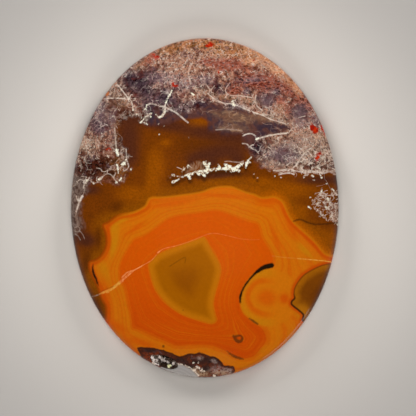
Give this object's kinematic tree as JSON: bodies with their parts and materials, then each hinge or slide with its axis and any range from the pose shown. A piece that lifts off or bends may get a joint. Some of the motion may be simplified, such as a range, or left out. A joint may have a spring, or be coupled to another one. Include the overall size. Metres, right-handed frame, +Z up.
{
  "type": "polished condor agate cabochon",
  "caption": "Polished oval agate cabochon: a low-domed stone with banded and plume markings, a flat ground back and a small crystal-lined pocket near its edge.",
  "frame": {"origin": "middle of the flat back, on the surface that the stone rests on", "axes": "+Z up out of the dome, +Y along the length towards the plume-filled end, +X to the right as seen from above"},
  "size_m": [0.03, 0.038, 0.006],
  "materials": {
    "agate": "polished",
    "quartz": "gloss"
  },
  "bodies": {
    "root": {"agate_stone": "agate", "crystal_crust": "quartz"}
  },
  "joints": []
}
